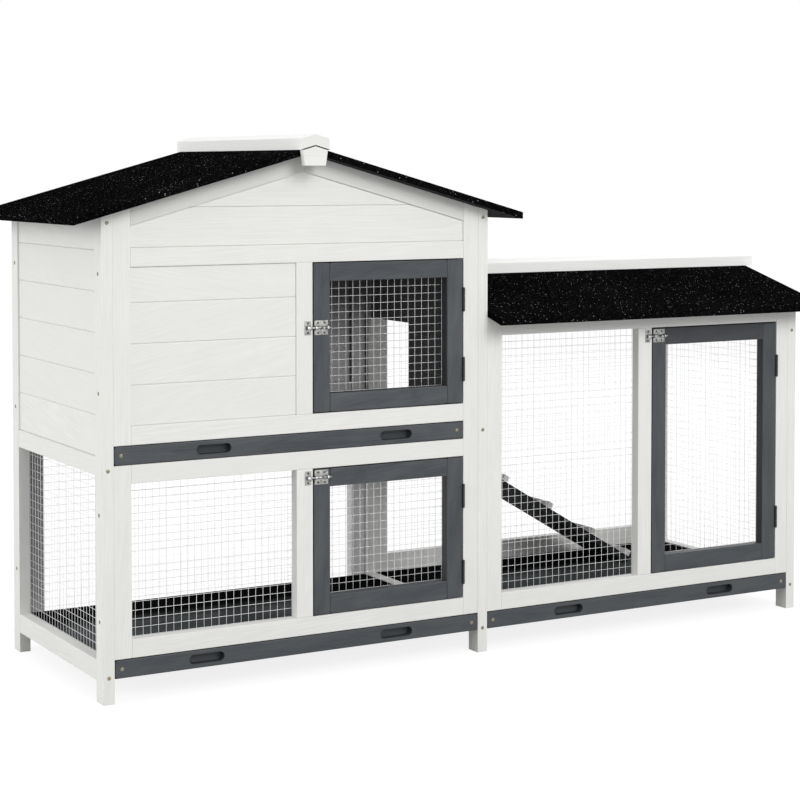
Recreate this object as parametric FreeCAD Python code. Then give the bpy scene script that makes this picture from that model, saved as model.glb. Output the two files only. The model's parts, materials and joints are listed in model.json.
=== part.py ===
import FreeCAD
import Part
import math
import os

# Two-floor guinea pig hutch with a run at its right, in millimetres.
# The drawing frame has its corner at the outer foot of the front left post: X runs to the
# right along the front, Y to the back, Z up.  Each finished piece is moved so that the
# origin lies on the ground under the middle of the whole object.

# Timber and the plan of the frame
timber = 19.0  # thickness of every frame, and width of a post seen from the front
post_depth = 30.0
rail = 30.0  # width of rails and stiles
depth = 430.0  # front to back over the posts
house_panel = 676.0  # between the left and the middle posts
run_panel = 680.0  # between the middle and the right posts
house_door_opening = 293.5
run_door_opening = 295.5
run_end_stile = 28.0  # at the right of the run door

# Heights of the front, from the ground up
leg_height = 39.5
tray_front_height = 30.0
tray_gap = 0.75  # above and below each tray front
lower_window_height = 248.0
upper_window_height = 252.5
run_top_rise = 115.5  # top of the run window over the sill of the upper door

# Side panels and partition
side_rail_drop = 35.75  # the low side rails start this far under the front bottom rail
side_low_rail = 33.0
side_middle_rise = 13.25  # the side middle rails lie this much over the front middle rail
house_back_rail = 19.0  # at the foot of the house's back, hidden behind the lower tray
doorway_width = 144.0  # reaches back to the posts
doorway_height = 151.25

# Wall boards
board_width = 65.5
board_thick = 9.0
board_recess = 3.0  # behind the frames' outer faces
board_groove = 1.2  # chamfer along each board's outer edges
first_wall_board = 64.5
first_gable_board = 63.4
barge_height = 31.0  # measured straight down

# Main roof: ridge from front to back over the middle of the house
roof_slope = 0.275
roof_board = 9.7  # measured straight down
felt = 2.0
main_eave_out = 55.5
main_head_rise = 52.7  # roof's underside over the top rail, at the outer face of the posts
main_gable_out = 28.0

# Ridge caps and the block under the front end of the main one
cap_width = 52.0
cap_thick = 19.4
main_cap_out = 12.0  # past the roof at each end
block_foot_width = 38.4
block_top_width = 46.0
block_drop = 26.5  # below the top of the felt at the sides of the block

# Run roof: ridge along the run
run_eave_out = 45.0
run_head_rise = 33.1  # roof's underside over the window, at the front face
run_gable_out = 33.0
run_cap_out = 16.0

# Trays
tray_front_thick = 15.0
tray_floor_drop = 3.5  # top of the sheet under the top edge of the tray front
tray_sheet = 4.0
tray_side_gap = 3.0
tray_back_gap = 2.4  # leaves room for the wire mesh on the back rail
skid_width = 15.0
skid_height = 10.0
skid_inset = 2.0
slide_clearance = 0.3
runner_width = 22.0
runner_height = 12.0
finger_slot_length = 62.0
finger_slot_height = 15.5
upper_slot_shares = (0.267, 0.793)
lower_slot_shares = (0.235, 0.758)
run_slot_shares = (0.254, 0.761)

# Wire mesh: a holed sheet with every upright wire, whose large panels leave out level ones
mesh_pitch = 13.6
mesh_wire = 1.0
mesh_thick = 1.8  # two crossed layers, pressed together where they are welded
mesh_lap = 8.0  # over the frame all round
most_gaps = 300

# Doors
door_gap = 1.5  # at the top, the bottom and the latch side
hinge_gap = 1.6
door_member = 31.0

# Butt hinges
hinge_height = 41.0
hinge_leaf = 0.6
hinge_leaf_depth = 14.0
knuckle_radius = 2.0
knuckle_forward = 2.6  # axis in front of the door's face
knuckle_gap = 0.4
pin_radius = 0.9
pin_clearance = 0.05
pin_head = 0.8
upper_hinge_shares = (0.235, 0.72)
lower_hinge_shares = (0.18, 0.723)
run_hinge_shares = (0.175, 0.817)

# Barrel bolts
latch_plate_width = 25.0
latch_plate_height = 24.0
latch_plate_thick = 1.0
latch_inset = 1.5  # from the door's edge
latch_drop = 13.75  # centre below the top of the lower door and the run door
upper_latch_share = 0.568
bolt_radius = 2.0
bolt_rise = 0.4  # bolt above its plate
strap_width = 3.0
strap_clearance = 0.4
strap_wall = 0.9
bolt_tail = 5.5  # past the back strap at rest
knob_radius = 1.8
knob_length = 6.0
knob_ball_radius = 2.6
keeper_width = 11.4
keeper_height = 23.0
keeper_hump_width = 6.0
keeper_gap = 3.8  # keeper plate to the door opening
keeper_hump_inset = 2.2  # hump to the keeper's edge at the door
bolt_stop_gap = 0.5  # bolt to hump at rest

# Ramp
ramp_angle = 30.65
ramp_board = 12.0
ramp_width = 130.0
ramp_back_gap = 25.0  # to the back posts
ramp_hinge_rise = 5.6  # hinge axis above the partition rail's lower edge
ramp_head_gap = 6.0  # hinge axis to the board's top end
ramp_foot_gap = 0.3
ramp_leaf = 0.8
ramp_leaf_length = 18.0
ramp_hinge_width = 30.0
ramp_hinge_inset = 15.0
cleat_first = 102.0
cleat_pitch = 118.0
cleat_width = 12.0
cleat_height = 12.0
cleat_inset = 2.0
cleat_tip = 1.5  # from the last cleat to the ramp's foot

# Screws in the posts
screw_head_radius = 3.3
screw_head_proud = 0.5
screw_shank_radius = 1.5
screw_length = 14.0
screw_clearance = 0.1
left_post_screw_shares = (0.055, 0.479, 0.984)  # of the height of the post's outer face
middle_post_screw_shares = (0.055, 0.505, 0.984)
right_post_screw_shares = (0.078, 0.913)
side_front_screw_shares = (0.168, 0.387, 0.636, 0.88)
side_back_screw_shares = (0.188, 0.556, 0.881)

cut_overrun = 5.0  # how far cutters run past what they cut

# Places along X
house_left = timber
house_right = house_left + house_panel
run_left = house_right + timber
run_right = run_left + run_panel
frame_right = run_right + timber
window_left = house_left + rail
door_right = house_right - rail
door_left = door_right - house_door_opening
window_right = door_left - rail
run_window_left = run_left + rail
run_door_right = run_right - run_end_stile
run_door_left = run_door_right - run_door_opening
run_window_right = run_door_left - rail
ridge_x = run_left / 2

# Places along Y
side_front = post_depth
side_back = depth - post_depth
back_inner = depth - timber
ridge_y = depth / 2

# Places along Z
lower_tray_bottom = leg_height
lower_rail_bottom = lower_tray_bottom + tray_front_height + tray_gap
lower_window_bottom = lower_rail_bottom + rail
lower_window_top = lower_window_bottom + lower_window_height
middle_rail_top = lower_window_top + rail
upper_tray_bottom = middle_rail_top + tray_gap
chamber_rail_bottom = upper_tray_bottom + tray_front_height + tray_gap
upper_window_bottom = chamber_rail_bottom + rail
upper_window_top = upper_window_bottom + upper_window_height
top_rail_top = upper_window_top + rail
run_window_top = upper_window_bottom + run_top_rise
run_rail_top = run_window_top + rail
side_rail_bottom = lower_rail_bottom - side_rail_drop
side_rail_top = side_rail_bottom + side_low_rail
side_middle_bottom = lower_window_top + side_middle_rise
side_middle_top = side_middle_bottom + rail
doorway_bottom = chamber_rail_bottom
doorway_top = doorway_bottom + doorway_height
doorway_y1 = side_back
house_back_rail_top = lower_tray_bottom + house_back_rail
doorway_y0 = doorway_y1 - doorway_width
main_post_height = top_rail_top + main_head_rise
run_post_height = run_window_top + run_head_rise
main_eave_height = main_post_height - roof_slope * main_eave_out
run_eave_height = run_post_height - roof_slope * run_eave_out
tray_floor_rise = tray_front_height - tray_floor_drop
ramp_front = side_back - ramp_back_gap - ramp_width

# Roof outlines
main_eave_left = -main_eave_out
main_eave_right = run_left + main_eave_out
main_roof_front = -main_gable_out
main_roof_back = depth + main_gable_out
run_eave_front = -run_eave_out
run_eave_back = depth + run_eave_out
run_roof_right = frame_right + run_gable_out
run_cap_right = run_roof_right + run_cap_out
cap_front = main_roof_front - main_cap_out
cap_back = main_roof_back + main_cap_out
felt_top = roof_board + felt

# The origin, under the middle of the whole object
origin_x = (main_eave_left + run_cap_right) / 2
origin_y = ridge_y


def main_under(x):
    return main_eave_height + roof_slope * (ridge_x + main_eave_out - abs(x - ridge_x))


def run_under(y):
    return run_eave_height + roof_slope * (ridge_y + run_eave_out - abs(y - ridge_y))


def block(x0, x1, y0, y1, z0, z1):
    return Part.makeBox(x1 - x0, y1 - y0, z1 - z0, FreeCAD.Vector(x0, y0, z0))


def run_along_y(outline, y0, y1):
    corners = [FreeCAD.Vector(x, y0, z) for x, z in outline]
    face = Part.Face(Part.makePolygon(corners + corners[:1]))
    return face.extrude(FreeCAD.Vector(0, y1 - y0, 0))


def run_along_x(outline, x0, x1):
    corners = [FreeCAD.Vector(x0, y, z) for y, z in outline]
    face = Part.Face(Part.makePolygon(corners + corners[:1]))
    return face.extrude(FreeCAD.Vector(x1 - x0, 0, 0))


def rod(radius, start, end):
    way = end - start
    return Part.makeCylinder(radius, way.Length, start, way)


def solids_of(shapes):
    found = []
    for shape in shapes:
        found += shape.Solids
    return found


def save(name, shapes):
    placed = []
    for solid in solids_of(shapes):
        moved = solid.copy()
        moved.translate(FreeCAD.Vector(-origin_x, -origin_y, 0))
        placed.append(moved)
    whole = placed[0] if len(placed) == 1 else Part.makeCompound(placed)
    whole.exportStep("parts/" + name + ".step")
    print(name, len(placed))


def main_cover():
    # everything from the main roof's underside upwards
    sky = main_eave_height + house_panel
    outline = [
        (main_eave_left - cut_overrun, main_under(main_eave_left - cut_overrun)),
        (ridge_x, main_under(ridge_x)),
        (main_eave_right + cut_overrun, main_under(main_eave_right + cut_overrun)),
        (main_eave_right + cut_overrun, sky),
        (main_eave_left - cut_overrun, sky),
    ]
    return run_along_y(outline, main_roof_front, main_roof_back)


def run_cover():
    sky = run_eave_height + depth
    outline = [
        (run_eave_front - cut_overrun, run_under(run_eave_front - cut_overrun)),
        (ridge_y, run_under(ridge_y)),
        (run_eave_back + cut_overrun, run_under(run_eave_back + cut_overrun)),
        (run_eave_back + cut_overrun, sky),
        (run_eave_front - cut_overrun, sky),
    ]
    return run_along_x(outline, run_left - timber, run_cap_right)


under_main = main_cover()
under_run = run_cover()
house_sky = main_under(ridge_x)
run_sky = run_under(ridge_y)


def hole_for_screw(head, way):
    # a pocket round the shank, open at the post's face
    step = FreeCAD.Vector(way)
    start = head - step * cut_overrun
    end = head + step * (screw_length + screw_clearance)
    return rod(screw_shank_radius + screw_clearance, start, end)


def screw(head, way):
    # a flat head standing a little proud of the face, and its shank
    step = FreeCAD.Vector(way)
    cap = rod(screw_head_radius, head - step * screw_head_proud, head)
    return cap.fuse(rod(screw_shank_radius, head, head + step * screw_length)).removeSplitter()


into_front = FreeCAD.Vector(0, 1, 0)
into_side = FreeCAD.Vector(1, 0, 0)
post_middle = timber / 2
side_screw_front = post_depth / 2
side_screw_back = depth - post_depth / 2


def front_screws(x, post_height, shares):
    return [(FreeCAD.Vector(x, 0, post_height * share), into_front) for share in shares]


def side_screws(y, shares):
    return [(FreeCAD.Vector(0, y, main_post_height * share), into_side) for share in shares]


post_screws = {
    "front_left_post": front_screws(post_middle, main_post_height, left_post_screw_shares)
    + side_screws(side_screw_front, side_front_screw_shares),
    "front_middle_post": front_screws(
        house_right + post_middle, main_post_height, middle_post_screw_shares,
    ),
    "front_right_post": front_screws(
        run_right + post_middle, run_post_height, right_post_screw_shares,
    ),
    "back_left_post": side_screws(side_screw_back, side_back_screw_shares),
    "back_middle_post": [],
    "back_right_post": [],
}


def posts():
    screws = []
    columns = {"left": 0, "middle": house_right, "right": run_right}
    for side, x0 in columns.items():
        cover = under_run if side == "right" else under_main
        sky = run_sky if side == "right" else house_sky
        for end, y0 in (("front", 0), ("back", side_back)):
            name = end + "_" + side + "_post"
            post = block(x0, x0 + timber, y0, y0 + post_depth, 0, sky).cut(cover)
            for head, way in post_screws[name]:
                post = post.cut(hole_for_screw(head, way))
                screws.append(screw(head, way))
            save(name, [post])
    save("post_screws", screws)


def house_front_frame():
    def stile(x0, x1, z0, z1):
        return block(x0, x1, 0, timber, z0, z1).cut(under_main)

    pieces = [
        stile(house_left, window_left, lower_rail_bottom, middle_rail_top),
        stile(house_left, window_left, chamber_rail_bottom, house_sky),
        stile(window_right, door_left, lower_window_bottom, lower_window_top),
        stile(window_right, door_left, upper_window_bottom, upper_window_top),
        stile(door_right, house_right, lower_rail_bottom, house_sky),
    ]
    for z0 in (lower_rail_bottom, lower_window_top, chamber_rail_bottom, upper_window_top):
        pieces.append(block(window_left, door_right, 0, timber, z0, z0 + rail))
    save("house_front_frame", pieces)


def wall_board(x0, x1, face, inward, z0, z1):
    # a board along X; inward is +1 where its outer face looks to the front, else -1
    g = board_groove
    back = face + inward * board_thick
    eased = face + inward * g
    outline = [(back, z0), (eased, z0), (face, z0 + g), (face, z1 - g), (eased, z1), (back, z1)]
    return run_along_x(outline, x0, x1)


def side_board(y0, y1, face, inward, z0, z1):
    # a board along Y; inward is +1 where its outer face looks to the left, else -1
    g = board_groove
    back = face + inward * board_thick
    eased = face + inward * g
    outline = [(back, z0), (eased, z0), (face, z0 + g), (face, z1 - g), (eased, z1), (back, z1)]
    return run_along_y(outline, y0, y1)


def courses(z0, z1, first):
    # lower and upper edges of the boards that fill a wall from z0 to z1
    edges = []
    low = z0
    high = z0 + first
    while high < z1 - board_groove * 2:
        edges.append((low, high))
        low = high
        high = low + board_width
    edges.append((low, z1))
    return edges


def below_barges():
    # the gable between the outer stiles, under the barge boards
    right = door_right
    outline = [
        (window_left, top_rail_top),
        (right, top_rail_top),
        (right, main_under(right) - barge_height),
        (ridge_x, main_under(ridge_x) - barge_height),
        (window_left, main_under(window_left) - barge_height),
    ]
    return run_along_y(outline, -cut_overrun, depth + cut_overrun)


def gable_boards(face, inward):
    top = main_under(ridge_x) - barge_height
    whole = below_barges()
    return [
        wall_board(window_left, door_right, face, inward, z0, z1).common(whole)
        for z0, z1 in courses(top_rail_top, top, first_gable_board)
    ]


def barge_pair(y0, y1):
    pair = []
    for x_side in (window_left, door_right):
        outline = [
            (x_side, main_under(x_side) - barge_height),
            (ridge_x, main_under(ridge_x) - barge_height),
            (ridge_x, main_under(ridge_x)),
            (x_side, main_under(x_side)),
        ]
        pair.append(run_along_y(outline, y0, y1))
    return pair


def house_walls():
    front_face = board_recess
    back_face = depth - board_recess
    front = [
        wall_board(window_left, window_right, front_face, 1, z0, z1)
        for z0, z1 in courses(upper_window_bottom, upper_window_top, first_wall_board)
    ]
    save("front_wall_boards", front)
    save("front_gable_boards", gable_boards(front_face, 1))
    save("barge_boards", barge_pair(0, timber) + barge_pair(back_inner, depth))
    back = [
        wall_board(window_left, door_right, back_face, -1, z0, z1)
        for z0, z1 in courses(upper_window_bottom, upper_window_top, first_wall_board)
    ]
    save("back_wall_boards", back + gable_boards(back_face, -1))


def house_back_frame():
    def stile(x0, x1):
        return block(x0, x1, back_inner, depth, lower_tray_bottom, house_sky).cut(under_main)

    pieces = [stile(house_left, window_left), stile(door_right, house_right)]
    for z0, z1 in (
        (lower_tray_bottom, house_back_rail_top),
        (lower_window_top, upper_window_bottom),
        (upper_window_top, top_rail_top),
    ):
        pieces.append(block(window_left, door_right, back_inner, depth, z0, z1))
    save("house_back_frame", pieces)


def left_side():
    rails = [
        block(0, timber, side_front, side_back, side_rail_bottom, side_rail_top),
        block(0, timber, side_front, side_back, side_middle_bottom, side_middle_top),
    ]
    save("left_side_rails", rails)
    boards = [
        side_board(side_front, side_back, board_recess, 1, z0, z1).cut(under_main)
        for z0, z1 in courses(side_middle_top, main_under(timber), board_width)
    ]
    save("left_side_boards", boards)


def partition():
    pieces = [
        block(house_right, run_left, side_front, side_back, side_rail_bottom, side_rail_top),
        block(house_right, run_left, side_front, side_back, side_middle_bottom, doorway_bottom),
    ]
    save("partition_frame", pieces)
    doorway = block(
        house_right - cut_overrun, run_left + cut_overrun,
        doorway_y0, doorway_y1 + cut_overrun, doorway_bottom - cut_overrun, doorway_top,
    )
    face = run_left - board_recess
    boards = [
        side_board(side_front, side_back, face, -1, z0, z1).cut(under_main).cut(doorway)
        for z0, z1 in courses(doorway_bottom, main_under(house_right), board_width)
    ]
    save("partition_boards", boards)


def run_frames():
    def upright(x0, x1, y0, z0):
        return block(x0, x1, y0, y0 + timber, z0, run_sky).cut(under_run)

    def head(x0, x1, y0):
        return block(x0, x1, y0, y0 + timber, run_window_top, run_sky).cut(under_run)

    front = [
        upright(run_left, run_window_left, 0, lower_rail_bottom),
        block(run_window_right, run_door_left, 0, timber, lower_window_bottom, run_window_top),
        upright(run_door_right, run_right, 0, lower_rail_bottom),
        block(run_window_left, run_door_right, 0, timber, lower_rail_bottom, lower_window_bottom),
        head(run_window_left, run_door_right, 0),
    ]
    save("run_front_frame", front)
    back = [
        upright(run_left, run_window_left, back_inner, lower_tray_bottom),
        upright(run_door_right, run_right, back_inner, lower_tray_bottom),
        block(
            run_window_left, run_door_right, back_inner, depth,
            lower_tray_bottom, lower_window_bottom,
        ),
        head(run_window_left, run_door_right, back_inner),
    ]
    save("run_back_frame", back)
    end_gable = side_board(
        side_front, side_back, frame_right - board_recess, -1, run_rail_top, run_sky,
    ).cut(under_run)
    end = [
        block(run_right, frame_right, side_front, side_back, side_rail_bottom, side_rail_top),
        block(run_right, frame_right, side_front, side_back, run_window_top, run_rail_top),
        end_gable,
    ]
    save("run_end_frame", end)


def mesh_outline(u0, u1, v0, v1, corner):
    return Part.makePolygon([
        corner(u0, v0), corner(u1, v0), corner(u1, v1), corner(u0, v1), corner(u0, v0),
    ])


def mesh_sheet(u0, u1, v0, v1, laps, corner, push):
    # laps: how far the sheet runs past the opening at u0, u1, v0 and v1
    columns = max(round((u1 - u0) / mesh_pitch), 1)
    pitch = mesh_pitch
    while columns * round((v1 - v0) / pitch) > most_gaps:
        pitch += mesh_pitch
    rows = max(round((v1 - v0) / pitch), 1)
    du = (u1 - u0) / columns
    dv = (v1 - v0) / rows
    half = mesh_wire / 2
    edges = [mesh_outline(u0 - laps[0], u1 + laps[1], v0 - laps[2], v1 + laps[3], corner)]
    for i in range(columns):
        for j in range(rows):
            gap = mesh_outline(
                u0 + i * du + half, u0 + (i + 1) * du - half,
                v0 + j * dv + half, v0 + (j + 1) * dv - half, corner,
            )
            gap.reverse()
            edges.append(gap)
    return Part.Face(edges).extrude(push)


def front_mesh(x0, x1, z0, z1, y0):
    # a sheet in a plane across the hutch, from y0 towards the back
    laps = (mesh_lap, mesh_lap, mesh_lap, mesh_lap)
    return mesh_sheet(
        x0, x1, z0, z1, laps,
        lambda u, v: FreeCAD.Vector(u, y0, v), FreeCAD.Vector(0, mesh_thick, 0),
    )


def side_mesh(z0, z1, x0):
    # a sheet between the front and back posts, from x0 to the right
    laps = (mesh_lap, mesh_lap, mesh_lap, mesh_lap)
    return mesh_sheet(
        side_front, side_back, z0, z1, laps,
        lambda u, v: FreeCAD.Vector(x0, u, v), FreeCAD.Vector(mesh_thick, 0, 0),
    )


def fixed_meshes():
    z0 = lower_window_bottom
    back = back_inner - mesh_thick
    save("front_window_mesh", [front_mesh(window_left, window_right, z0, lower_window_top, timber)])
    save("house_back_mesh", [
        front_mesh(window_left, door_right, house_back_rail_top, lower_window_top, back),
    ])
    save("left_side_mesh", [side_mesh(side_rail_top, side_middle_bottom, timber)])
    save("run_front_mesh", [front_mesh(run_window_left, run_window_right, z0, run_window_top, timber)])
    save("run_back_mesh", [front_mesh(run_window_left, run_door_right, z0, run_window_top, back)])
    save("run_end_mesh", [side_mesh(side_rail_top, run_window_top, run_right - mesh_thick)])


def slope_outline(left, right, middle, under, rise0, rise1):
    # a roof layer between two heights over the underside, from left to right over the ridge
    return [
        (left, under(left) + rise0),
        (middle, under(middle) + rise0),
        (right, under(right) + rise0),
        (right, under(right) + rise1),
        (middle, under(middle) + rise1),
        (left, under(left) + rise1),
    ]


def slope_board(outer, middle, under):
    return [
        (outer, under(outer)), (middle, under(middle)),
        (middle, under(middle) + roof_board), (outer, under(outer) + roof_board),
    ]


def main_roof():
    left = main_eave_left + felt
    right = main_eave_right - felt
    y0 = main_roof_front + felt
    y1 = main_roof_back - felt
    save("left_roof_board", [run_along_y(slope_board(left, ridge_x, main_under), y0, y1)])
    save("right_roof_board", [run_along_y(slope_board(right, ridge_x, main_under), y0, y1)])
    outer = run_along_y(
        slope_outline(main_eave_left, main_eave_right, ridge_x, main_under, 0, felt_top),
        main_roof_front, main_roof_back,
    )
    inner = run_along_y(
        slope_outline(left, right, ridge_x, main_under, -cut_overrun, roof_board), y0, y1,
    )
    save("main_roof_felt", [outer.cut(inner)])
    cap_left = ridge_x - cap_width / 2
    cap_right = ridge_x + cap_width / 2
    cap = run_along_y(
        slope_outline(cap_left, cap_right, ridge_x, main_under, felt_top, felt_top + cap_thick),
        cap_front, cap_back,
    )
    foot = block_foot_width / 2
    head = block_top_width / 2
    side_top = main_under(ridge_x + head) + felt_top
    outline = [
        (ridge_x - foot, side_top - block_drop),
        (ridge_x + foot, side_top - block_drop),
        (ridge_x + head, side_top),
        (ridge_x, main_under(ridge_x) + felt_top),
        (ridge_x - head, side_top),
    ]
    save("main_ridge_cap", [cap, run_along_y(outline, cap_front, main_roof_front)])


def run_roof():
    front = run_eave_front + felt
    back = run_eave_back - felt
    x1 = run_roof_right - felt
    boards = [
        run_along_x(slope_board(front, ridge_y, run_under), run_left, x1),
        run_along_x(slope_board(back, ridge_y, run_under), run_left, x1),
    ]
    save("run_roof_boards", boards)
    outer = run_along_x(
        slope_outline(run_eave_front, run_eave_back, ridge_y, run_under, 0, felt_top),
        run_left, run_roof_right,
    )
    inner = run_along_x(
        slope_outline(front, back, ridge_y, run_under, -cut_overrun, roof_board),
        run_left - cut_overrun, x1,
    )
    save("run_roof_felt", [outer.cut(inner)])
    cap_y0 = ridge_y - cap_width / 2
    cap_y1 = ridge_y + cap_width / 2
    cap = run_along_x(
        slope_outline(cap_y0, cap_y1, ridge_y, run_under, felt_top, felt_top + cap_thick),
        run_left, run_cap_right,
    )
    save("run_ridge_cap", [cap])


def rounded_slot(centre_x, centre_z):
    half = (finger_slot_length - finger_slot_height) / 2
    radius = finger_slot_height / 2
    back = tray_front_thick + cut_overrun
    middle = block(
        centre_x - half, centre_x + half, -cut_overrun, back, centre_z - radius, centre_z + radius,
    )
    for x in (centre_x - half, centre_x + half):
        end = rod(radius, FreeCAD.Vector(x, -cut_overrun, centre_z), FreeCAD.Vector(x, back, centre_z))
        middle = middle.fuse(end)
    return middle.removeSplitter()


def tray(name, left, right, bottom, slot_shares):
    # left and right are the sides of the bay that the tray slides in
    x0 = left + tray_gap
    x1 = right - tray_gap
    top = bottom + tray_front_height
    front = block(x0, x1, 0, tray_front_thick, bottom, top)
    for share in slot_shares:
        front = front.cut(rounded_slot(x0 + (x1 - x0) * share, (bottom + top) / 2))
    save(name + "_front", [front])
    sheet_top = bottom + tray_floor_rise
    sheet_bottom = sheet_top - tray_sheet
    sheet_left = left + tray_side_gap
    sheet_right = right - tray_side_gap
    back = back_inner - tray_back_gap
    pieces = [block(sheet_left, sheet_right, tray_front_thick, back, sheet_bottom, sheet_top)]
    for skid_left in (sheet_left + skid_inset, sheet_right - skid_inset - skid_width):
        pieces.append(block(
            skid_left, skid_left + skid_width, tray_front_thick, back,
            sheet_bottom - skid_height, sheet_bottom,
        ))
    save(name + "_floor", pieces)


def runner_top(tray_bottom):
    return tray_bottom + tray_floor_rise - tray_sheet - skid_height - slide_clearance


def runners():
    y0 = timber
    low = runner_top(lower_tray_bottom)
    high = runner_top(upper_tray_bottom)
    shelf_left = door_right - runner_width
    pieces = []
    for x0 in (house_left, house_right - runner_width, run_left, run_right - runner_width):
        pieces.append(block(x0, x0 + runner_width, y0, back_inner, low - runner_height, low))
    pieces.append(block(house_left, house_left + runner_width, y0, back_inner, high - runner_height, high))
    pieces.append(block(shelf_left, house_right, y0, back_inner, high - runner_height, high))
    strip_top = upper_tray_bottom + tray_floor_rise
    pieces.append(block(door_right, house_right, y0, back_inner, high, strip_top))
    save("tray_runners", pieces)


def knuckle_spans(z0):
    # lower and upper ends of the three knuckles of a hinge
    length = (hinge_height - knuckle_gap * 2) / 3
    return [
        (z0 + i * (length + knuckle_gap), z0 + i * (length + knuckle_gap) + length) for i in range(3)
    ]


def hinge_leaf_solid(x0, axis_x, z0, spans):
    # the flat leaf in the gap, with its knuckles in front of the door's face
    leaf = block(x0, x0 + hinge_leaf, 0, hinge_leaf_depth, z0, z0 + hinge_height)
    bore = rod(
        pin_radius + pin_clearance,
        FreeCAD.Vector(axis_x, -knuckle_forward, z0 - cut_overrun),
        FreeCAD.Vector(axis_x, -knuckle_forward, z0 + hinge_height + cut_overrun),
    )
    for low, high in spans:
        tongue = block(x0, x0 + hinge_leaf, -knuckle_forward, 0, low, high)
        barrel = rod(
            knuckle_radius,
            FreeCAD.Vector(axis_x, -knuckle_forward, low),
            FreeCAD.Vector(axis_x, -knuckle_forward, high),
        )
        leaf = leaf.fuse(tongue).fuse(barrel)
    return leaf.cut(bore)


def hinge_pair(opening_right, door_bottom, door_top, shares):
    # fixed leaves with their pins, and the door's leaves
    fixed = []
    moving = []
    axis_x = opening_right - hinge_gap / 2
    for share in shares:
        z0 = door_bottom + (door_top - door_bottom) * share - hinge_height / 2
        low, middle, high = knuckle_spans(z0)
        fixed.append(hinge_leaf_solid(opening_right - hinge_leaf, axis_x, z0, [low, high]))
        moving.append(hinge_leaf_solid(opening_right - hinge_gap, axis_x, z0, [middle]))
        fixed.append(rod(
            pin_radius,
            FreeCAD.Vector(axis_x, -knuckle_forward, z0 - pin_head),
            FreeCAD.Vector(axis_x, -knuckle_forward, z0 + hinge_height + pin_head),
        ))
    return fixed, moving


def along_bolt(radius, x0, x1, z):
    y = -(latch_plate_thick + bolt_rise + bolt_radius)
    return rod(radius, FreeCAD.Vector(x0, y, z), FreeCAD.Vector(x1, y, z))


def strap(x0, x1, z):
    # a bridge over the bolt, standing on its plate
    inner = bolt_radius + strap_clearance
    outer = inner + strap_wall
    axis_y = -(latch_plate_thick + bolt_rise + bolt_radius)
    solid = along_bolt(outer, x0, x1, z).fuse(
        block(x0, x1, axis_y, -latch_plate_thick, z - outer, z + outer)
    )
    solid = solid.cut(along_bolt(inner, x0 - cut_overrun, x1 + cut_overrun, z))
    slot = block(
        x0 - cut_overrun, x1 + cut_overrun, axis_y, -latch_plate_thick, z - inner, z + inner,
    )
    return solid.cut(slot)


def latch(name, opening_left, z):
    # opening_left is the edge of the middle stile
    low = z - latch_plate_height / 2
    plate_left = opening_left + door_gap + latch_inset
    plate_right = plate_left + latch_plate_width
    plate = block(plate_left, plate_right, -latch_plate_thick, 0, low, low + latch_plate_height)
    for x0 in (plate_left, plate_right - strap_width):
        plate = plate.fuse(strap(x0, x0 + strap_width, z))
    save(name + "_latch_plate", [plate])
    keeper_right = opening_left - keeper_gap
    keeper_left = keeper_right - keeper_width
    keeper_low = z - keeper_height / 2
    keeper = block(
        keeper_left, keeper_right, -latch_plate_thick, 0, keeper_low, keeper_low + keeper_height,
    )
    hump_right = keeper_right - keeper_hump_inset
    keeper = keeper.fuse(strap(hump_right - keeper_hump_width, hump_right, z))
    bolt_left = hump_right + bolt_stop_gap
    bolt_right = plate_right + bolt_tail
    knob_x = (plate_left + plate_right) / 2
    axis_y = -(latch_plate_thick + bolt_rise + bolt_radius)
    tip = axis_y - bolt_radius - knob_length
    stem = rod(
        knob_radius, FreeCAD.Vector(knob_x, axis_y, z), FreeCAD.Vector(knob_x, tip, z),
    )
    ball = Part.makeSphere(knob_ball_radius, FreeCAD.Vector(knob_x, tip, z))
    bolt = along_bolt(bolt_radius, bolt_left, bolt_right, z).fuse(stem).fuse(ball)
    save(name + "_bolt", [bolt])
    return keeper


def door(name, left, right, bottom, top, latch_z, hinge_shares):
    # left, right, bottom and top are the edges of the opening
    x0 = left + door_gap
    x1 = right - hinge_gap
    z0 = bottom + door_gap
    z1 = top - door_gap
    inner_left = x0 + door_member
    inner_right = x1 - door_member
    inner_bottom = z0 + door_member
    inner_top = z1 - door_member
    frame = [
        block(x0, inner_left, 0, timber, z0, z1),
        block(inner_right, x1, 0, timber, z0, z1),
        block(inner_left, inner_right, 0, timber, z0, inner_bottom),
        block(inner_left, inner_right, 0, timber, inner_top, z1),
    ]
    save(name + "_frame", frame)
    save(name + "_mesh", [front_mesh(inner_left, inner_right, inner_bottom, inner_top, timber)])
    fixed, moving = hinge_pair(right, z0, z1, hinge_shares)
    save(name + "_hinges", moving)
    return fixed, latch(name, left, latch_z)


def doors():
    upper_z0 = upper_window_bottom + door_gap
    upper_z1 = upper_window_top - door_gap
    upper_latch = upper_z0 + (upper_z1 - upper_z0) * upper_latch_share
    lower_latch = lower_window_top - door_gap - latch_drop
    run_latch = run_window_top - door_gap - latch_drop
    z0 = lower_window_bottom
    leaves = []
    keepers = []
    for name, left, right, low, high, latch_z, shares in (
        ("upper_door", door_left, door_right, upper_window_bottom, upper_window_top,
         upper_latch, upper_hinge_shares),
        ("lower_door", door_left, door_right, z0, lower_window_top, lower_latch, lower_hinge_shares),
        ("run_door", run_door_left, run_door_right, z0, run_window_top, run_latch, run_hinge_shares),
    ):
        fixed, keeper = door(name, left, right, low, high, latch_z, shares)
        leaves += fixed
        keepers.append(keeper)
    save("latch_keepers", keepers)
    return leaves


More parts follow.
